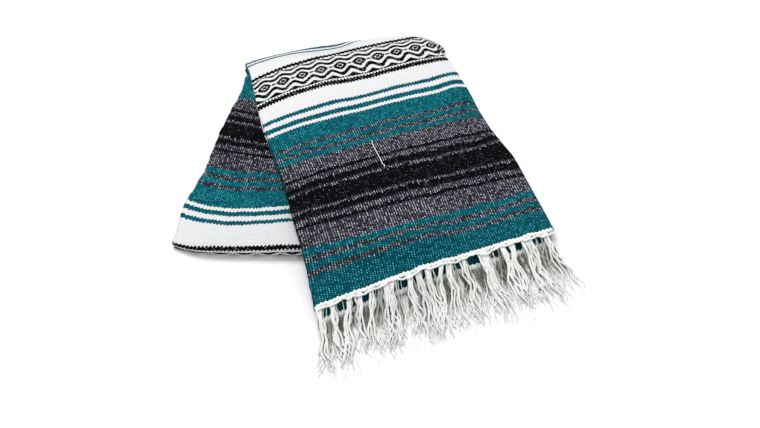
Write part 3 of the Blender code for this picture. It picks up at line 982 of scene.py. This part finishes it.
# Which yarn, as red, green and blue masks; alpha is the share of light flecks.
YARN_MASKS = {"black": (0, 0, 0, 1), "teal": (1, 0, 0, 1), "line": (1, 0, 0, 0.25), "grey": (0, 1, 0, 1),
              "white": (0, 0, 1, 1)}
TEAL = (0.0, 0.146, 0.182, 1)
TEAL_DEEP = (0.0, 0.080, 0.118, 1)
# A darker teal, both for the yarn's own mottling and for painted shade near the hem.
TEAL_MOTTLE_AND_SHADE = (0.0, 0.045, 0.075, 1)
TEAL_FLECK = (0.10, 0.58, 0.66, 1)
GREY = (0.012, 0.012, 0.017, 1)
GREY_LIGHT = (0.044, 0.046, 0.064, 1)
GREY_FLECK = (0.64, 0.66, 0.77, 1)
BLACK = (0.0018, 0.0020, 0.0032, 1)
BLACK_FLECK = (0.12, 0.13, 0.155, 1)
WHITE = (0.80, 0.812, 0.822, 1)
# Colour of the painted shade in the grooves and the slanting lines.
PAINTED_SHADE = (0, 0, 0, 1)


def weave_group():
    """Ribs of weft over warps: rib profile, fleck where a warp shows, and steady random values."""
    group, given = open_group("rib_weave", Cloth=VECTOR)
    wobble = (cloud(given["Cloth"], 70) - 0.5) * WOBBLE
    u, v, _ = parts(given["Cloth"])
    ribs = (u + wobble) / RIB
    rib_number = ribs.math("FLOOR")
    rib = arch(ribs)
    own = add(group, "ShaderNodeTexWhiteNoise", noise_dimensions="1D")
    feed(own.inputs["W"], rib_number)
    shift = rib_number % 2.0 * 0.5 + Signal(own.outputs["Value"]) * 0.4
    picks = (v + wobble) / PICK + shift
    spot = add(group, "ShaderNodeCombineXYZ")
    feed(spot.inputs[0], rib_number)
    feed(spot.inputs[1], picks.math("FLOOR"))
    random = add(group, "ShaderNodeTexWhiteNoise", noise_dimensions="2D")
    feed(random.inputs["Vector"], Signal(spot.outputs[0]))
    slant = ((ribs / 1.5 + v / TWILL) * (2 * math.pi)).math("SINE") * 0.5
    return close_group(group, Rib=rib, Slant=slant, Fleck=rib ** 1.5 * arch(picks) ** 2.0,
                       Random=Signal(random.outputs["Value"]), Hue=Signal(random.outputs["Color"]),
                       Hatch=arch(ribs + v / (2 * PICK)))


def from_dark_middle(along):
    """Distance from the middle of the nearest group of dark stripes."""
    return (along - DARK_MIDDLE).math("PINGPONG", HALF)


def stripe_group():
    """Which yarn the weft is, as masks, at a distance along the cloth."""
    group, given = open_group("falsa_stripes", Along=FLOAT)
    ramp = add(group, "ShaderNodeValToRGB")
    ramp.color_ramp.interpolation = "CONSTANT"
    stops = ramp.color_ramp.elements
    while len(stops) < len(STRIPES):
        stops.new(1.0)
    for stop, (start, _) in zip(stops, STRIPES):
        stop.position = start * MM / HALF
    for stop, (_, weft) in zip(stops, STRIPES):
        stop.color = YARN_MASKS[weft]
    feed(ramp.inputs["Fac"], from_dark_middle(given["Along"]) / HALF)
    masks = add(group, "ShaderNodeSeparateColor")
    feed(masks.inputs[0], Signal(ramp.outputs["Color"]))
    teal, grey, white = (Signal(mask) for mask in masks.outputs)
    return close_group(group, Teal=teal, Grey=grey, White=white, Flecked=Signal(ramp.outputs["Alpha"]))


DIAMOND = 33.5 * MM  # from one diamond to the next
FIRST_DIAMOND = 17.3 * MM  # middle of the first one, from the left edge
BAND = 32 * MM  # from the middle of the diamond band to its border lines
# The figures of the band, in millimetres from the middle of a diamond: across, then along.
RING = (10.9, 8.2)
RING_EDGES = (0.51, 1.15)  # inside and outside of the ring's line, as shares of its size
EYE = (3.2, 2.5)
BAR = (13.4, 1.7)  # where it starts and half its height
DOT_ACROSS, DOT_ALONG = (0.8, 3.2), (-24.4, -21.8)
ZIGZAG_OUT = 12.6  # from the band's middle to the middle of the zigzag
ZIGZAG_SWING = 3.3
ZIGZAG_HALF = 3.2  # half width of its line
HILL_TIP, HILL_SLOPE = 17.2, 0.47
HILL_BASE, FAR_BASE, FAR_SLOPE = 25.0, -2.2, 0.24
DRAWN_TIGHT = 0.27  # share by which the border lines are thinner on the near fold


def diamond_group():
    """Black figures of the diamond band, from the cloth's distances across and along."""
    group, given = open_group("diamond_band", Across=FLOAT, Along=FLOAT, Toothed=FLOAT, Straight=FLOAT)

    def near(value, low, high):
        """1 where a value is between two limits."""
        return (value > low) * (value < high)

    x = (given["Across"] - FIRST_DIAMOND).math("PINGPONG", DIAMOND / 2) / MM
    signed = ((given["Along"] - DARK_MIDDLE) % REPEAT - HALF) / MM
    toothed = signed + given["Toothed"] * (0.3 / MM)
    e = abs(signed)
    first_side = signed < 0.0  # the side of the thick border line
    wide, high = x / RING[0], e / RING[1]
    ring = ((wide ** 2.0 + high ** 2.0).math("SQRT") + (wide + high)) * 0.5
    eye = (x < EYE[0]) * (e < EYE[1])
    bar = (x > BAR[0]) * (e < BAR[1])

    # The zigzag runs round the diamonds; it swings wider on the side of the thick border line.
    from_far = DIAMOND / 2 / MM - x
    wave = (x * (math.pi * MM / (DIAMOND / 2))).math("COSINE")
    zigzag = e - (wave * (first_side + ZIGZAG_SWING) + ZIGZAG_OUT)

    # Dark hills between the zigzag and the border lines.
    base = (1.0 - first_side) * (from_far * FAR_SLOPE + FAR_BASE) + HILL_BASE
    hill = near(e, from_far * HILL_SLOPE + HILL_TIP, base)
    dots = near(x, *DOT_ACROSS) * near(signed, *DOT_ALONG)

    # The band is drawn tighter where it goes round the near fold.
    drawn = 1.0 - (given["Along"] > NEAR_BAND) * DRAWN_TIGHT

    def rope(middle, half, pitch):
        """A border line of slanting beads, like twisted yarn."""
        off = toothed - middle
        beads = off * 0.05 + given["Straight"] / (pitch * MM)
        swell = (beads * (2 * math.pi)).math("COSINE")
        return abs(off) < (swell * (0.26 * half) + 0.84 * half) * drawn

    black = near(ring, *RING_EDGES)
    for figure in (eye, bar, near(zigzag, -ZIGZAG_HALF, ZIGZAG_HALF), hill, dots,
                   rope(-BAND / MM, 5.4, 5.4), rope(BAND / MM - 1.0, 4.2, 7.4)):
        black = black.math("MAXIMUM", figure)
    return close_group(group, Black=black)


def woven_cloth(name):
    """The striped cloth: yarn colours, flecks of warp, ribs and the diamond band."""
    material, tree, shader = new_material(name)
    chart = Signal(add(tree, "ShaderNodeUVMap", uv_map="cloth").outputs["UV"])
    weave = place_group(weave_group(), Cloth=chart)
    rib, fleck_spot, random = weave["Rib"], weave["Fleck"], weave["Random"]
    u, v, _ = parts(chart)

    # The weft slants over each rib, so the edges of the stripes look like twisted rope, more ragged
    # among the dark stripes, and the beaten weft drifts a little.
    along = v + (cloud(chart, 26, 3) - 0.5) * DRIFT
    ragged = (from_dark_middle(v) < DARK_REACH) * (1.9 * MM) + 1.1 * MM
    step = (random - 0.5) * ragged
    teeth = weave["Slant"] * TOOTH + step
    stripes = place_group(stripe_group(), Along=along + teeth)
    figure = place_group(diamond_group(), Across=step * 0.8 + u, Along=step * -0.8 + along,
                         Toothed=teeth, Straight=u)["Black"]

    # The cloth ends in plain teal, and one pair of grey stripes is missing behind the big fold.
    gone = ((v > NO_GREY[0]) * (v < NO_GREY[1])).math("MAXIMUM", v < PLAIN_END)
    stays = 1.0 - gone
    is_grey = stripes["Grey"] * stays
    is_teal = stripes["Teal"].math("MAXIMUM", gone)
    is_white = stripes["White"] * stays
    is_lower = v > LOWER_START
    near_hem = span(v, *HEM_PAINTED_SHADE)

    # Each yarn has its own ground colour and its own share of light flecks.
    heather = cloud(chart, 420, 3)
    teal = blend(span(cloud(chart, 75, 3), 0.35, 0.7), TEAL, TEAL_DEEP)
    teal = blend(span(heather, 0.45, 0.75), teal, TEAL_MOTTLE_AND_SHADE)
    # Painted shade towards the hem.
    teal = blend(near_hem * 0.5, teal, TEAL_MOTTLE_AND_SHADE)
    grey = blend(span(heather, 0.40, 0.66), GREY, GREY_LIGHT)
    fleck = blend(is_teal, BLACK_FLECK, TEAL_FLECK)
    fleck = blend(is_grey, fleck, blend(0.12, GREY_FLECK, weave["Hue"]))
    fleck = blend(is_white, fleck, WHITE)
    colour = blend(is_teal, BLACK, teal)
    colour = blend(is_grey, colour, grey)
    colour = blend(is_white, colour, WHITE)
    sparse = is_grey * -3.4 + (is_teal * -2.4 + 5.0)
    # Painted shade: fewer light flecks make the black and grey yarn of the lower stretch darker.
    sparse = is_lower * (1.0 - is_teal) * 0.8 + sparse
    sparse = near_hem * is_teal * -0.9 + sparse
    streaks = span(rib, 0.70, 0.98) * is_grey * 0.22 + span(fleck_spot, 0.25, 0.85)
    shows = (streaks * random ** sparse).math("MULTIPLY", stripes["Flecked"], clamp=True)
    colour = blend(shows, colour, fleck)
    specks = span(random, 0.62, 1.0) * span(fleck_spot, 0.1, 0.8)
    colour = blend(figure.math("MULTIPLY", specks * -0.35 + is_white, clamp=True), colour, BLACK)

    # The grooves between ribs get painted shade. In the white yarn only slanting lines of painted shade show,
    # deeper towards the near fold.
    coloured = 1.0 - is_white
    groove_shade = span(rib, 0.62, 0.05) * (is_teal * -0.35 + 0.85)
    hatch_shade = span(weave["Hatch"], 0.6, 0.0) * (span(v, *FOLD_SHADE) * 0.22 + 0.12)
    colour = blend(groove_shade * coloured + hatch_shade * is_white, colour, PAINTED_SHADE)
    height = fleck_spot * 0.5 + rib * coloured + weave["Hatch"] * is_white + cloud(chart, 700) * 0.5
    finish_yarn(shader, colour, 0.06, height, 0.8, 0.8 * MM)
    return material


YARN = (0.96, 0.97, 0.96, 1)
YARN_DULL = (0.86, 0.87, 0.85, 1)
YARN_UNDER = (0.14, 0.14, 0.105, 1)  # in the shade of the bundles over it
# Colours of the painted shade among the fibres and in the furrows between the strands.
YARN_FIBRE_SHADE = (0.42, 0.42, 0.38, 1)
YARN_FURROW_SHADE = (0.28, 0.29, 0.25, 1)
PLY_TURN = 5.5 * MM  # length of one turn of a yarn's two strands


def loose_yarn(name):
    """Soft off-white yarn of the fringe and the hems, with painted shade among its fibres, in the furrows of
    its strands and on yarns that lie under others.
    """
    material, tree, shader = new_material(name)
    place = Signal(add(tree, "ShaderNodeTexCoord").outputs["Object"])
    x, y, along = parts(Signal(add(tree, "ShaderNodeAttribute", attribute_name="ply").outputs["Vector"]))
    shade = Signal(add(tree, "ShaderNodeAttribute", attribute_name="shaded").outputs["Fac"])
    strands = abs((y.math("ARCTAN2", x) + along * (2 * math.pi / PLY_TURN)).math("SINE"))
    is_loose = abs(x) + abs(y) > 0.01
    furrow = span(strands, 0.45, 0.0) * is_loose
    fibres = cloud(place, 1400, 3)
    colour = blend(span(cloud(place, 60, 2), 0.35, 0.75), YARN, YARN_DULL)
    # Painted shade on the yarns that lie under other bundles.
    colour = blend(shade, colour, YARN_UNDER)
    # Painted shade among the fibres and in the furrow between the two strands.
    colour = blend(span(fibres, 0.55, 0.75) * 0.3, colour, YARN_FIBRE_SHADE)
    colour = blend(furrow * 0.5, colour, YARN_FURROW_SHADE)
    finish_yarn(shader, colour, 0.08, fibres - furrow, 0.5, 0.4 * MM)
    return material


def first_hem_line(across):
    """Middle of the first twined hem."""
    point = upper_point(min(max(across, 0.002), 0.988), 0.0, CLOTH * 0.5)
    return point + LEAN.to_3d() * (2.2 + 1.9 * uneven(across * 22, 5, 2)) * MM


def second_hem_line(across):
    """Middle of the second twined hem, which lies on the floor."""
    plan = lay(UPPER, 0.012 + 0.968 * across, -HEM_STEP + 1.5 * MM)
    return Vector((plan.x, plan.y, SECOND_HEM_RADIUS * 1.06))


def stitch_line(across):
    """Middle of the loose strand that runs along the roots of the first fringe."""
    here = first_hem_line(0.01 + 0.98 * across)
    sag = 6.0 * uneven(across * 15, 3, 1) + 2.0 * uneven(across * 45, 8, 1)
    return here + LEAN.to_3d() * (6.4 + sag) * MM + Vector((0, 0, 2.2 * MM))


def flaw_line(share):
    """Middle of the thread that lies loose on the grey stripes."""
    across = (141 + 3.2 * uneven(share * 9, 4, 4)) * MM / STRIP_WIDTH
    along = (229 - 58 * share) * MM
    return upper_point(across, along, -upper_relief(across, along) - 0.4 * MM)


cloth = woven_cloth("striped_cloth")
yarn = loose_yarn("white_yarn")

top = upper_cloth(cloth)
lower = lower_cloth(cloth)
hidden = hidden_cloth(cloth)
second = second_cloth(cloth)
first_hem = twined("first_hem", first_hem_line, HEM_RADIUS, TWINE, 560, yarn)
second_hem = twined("second_hem", second_hem_line, SECOND_HEM_RADIUS, TWINE, 560, yarn)
stitches = twined("hem_stitches", stitch_line, STITCH_RADIUS, STITCH_TWINE, 600, yarn)
flaw = twined("stray_thread", flaw_line, 0.6 * MM, 4 * MM, 70, yarn)
first_fringe = fringe_yarns("first_yarns", bundle_yarns(FIRST_ROWS, first_hem_line, 0.0, 0.99, 1), yarn)
second_fringe = fringe_yarns("second_yarns", bundle_yarns(SECOND_ROWS, second_hem_line, 0.0, 1.0, 5), yarn)

for slot, dressed in (
    ("striped_cloth", ((top, "upper_layer"), (lower, "lower_layer"), (hidden, "inner_layers"),
                       (second, "second_end"))),
    ("fringe_yarn", ((first_hem, "first_fringe"), (second_hem, "second_fringe"),
                     (first_fringe, "first_fringe"), (stitches, "first_fringe"),
                     (second_fringe, "second_fringe"), (flaw, "upper_layer"))),
):
    for piece, node in dressed:
        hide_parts(node)

# Columns: name, place in metres, size of the soft box in metres, power in watts.
LIGHTS = (
    ("key_light", (-0.7, 1.0, 2.4), 1.5, 50),
    ("fill_light", (1.3, -1.6, 1.9), 1.6, 9),
)
SKY = 0.56  # strength of the even light from all sides
LENS = 40.55  # in millimetres, on a sensor 36 mm wide
CAMERA_PLACE = (0.01525, -0.8694, 0.8690)
CAMERA_TARGET = (0.01525, -0.0419, 0.0)


def studio():
    """A pale floor, a large soft light from behind on the left, a fill, an even sky and a camera."""
    bm = bmesh.new()
    bmesh.ops.create_grid(bm, x_segments=1, y_segments=1, size=6)
    mesh = bpy.data.meshes.new("floor")
    bm.to_mesh(mesh)
    bm.free()
    material = bpy.data.materials.new("floor_paint")
    material.use_nodes = True
    shader = material.node_tree.nodes["Principled BSDF"]
    shader.inputs["Base Color"].default_value = (0.93, 0.93, 0.94, 1)
    shader.inputs["Roughness"].default_value = 0.9
    mesh.materials.append(material)
    show("floor", mesh)

    for name, place, size, power in LIGHTS:
        lamp = bpy.data.lights.new(name, "AREA")
        lamp.size = size
        lamp.energy = power
        light = show(name, lamp)
        light.location = place
        light.rotation_euler = (-Vector(place)).to_track_quat("-Z", "Y").to_euler()

    world = bpy.data.worlds.new("studio_air")
    world.use_nodes = True
    world.node_tree.nodes["Background"].inputs["Color"].default_value = (1, 1, 1, 1)
    world.node_tree.nodes["Background"].inputs["Strength"].default_value = SKY
    bpy.context.scene.world = world

    lens = bpy.data.cameras.new("photo_camera")
    lens.sensor_width = 36
    lens.lens = LENS
    camera = show("photo_camera", lens)
    camera.location = CAMERA_PLACE
    towards = Vector(CAMERA_TARGET) - camera.location
    camera.rotation_euler = towards.to_track_quat("-Z", "Y").to_euler()
    bpy.context.scene.camera = camera
    bpy.context.scene.view_settings.view_transform = "Standard"


studio()
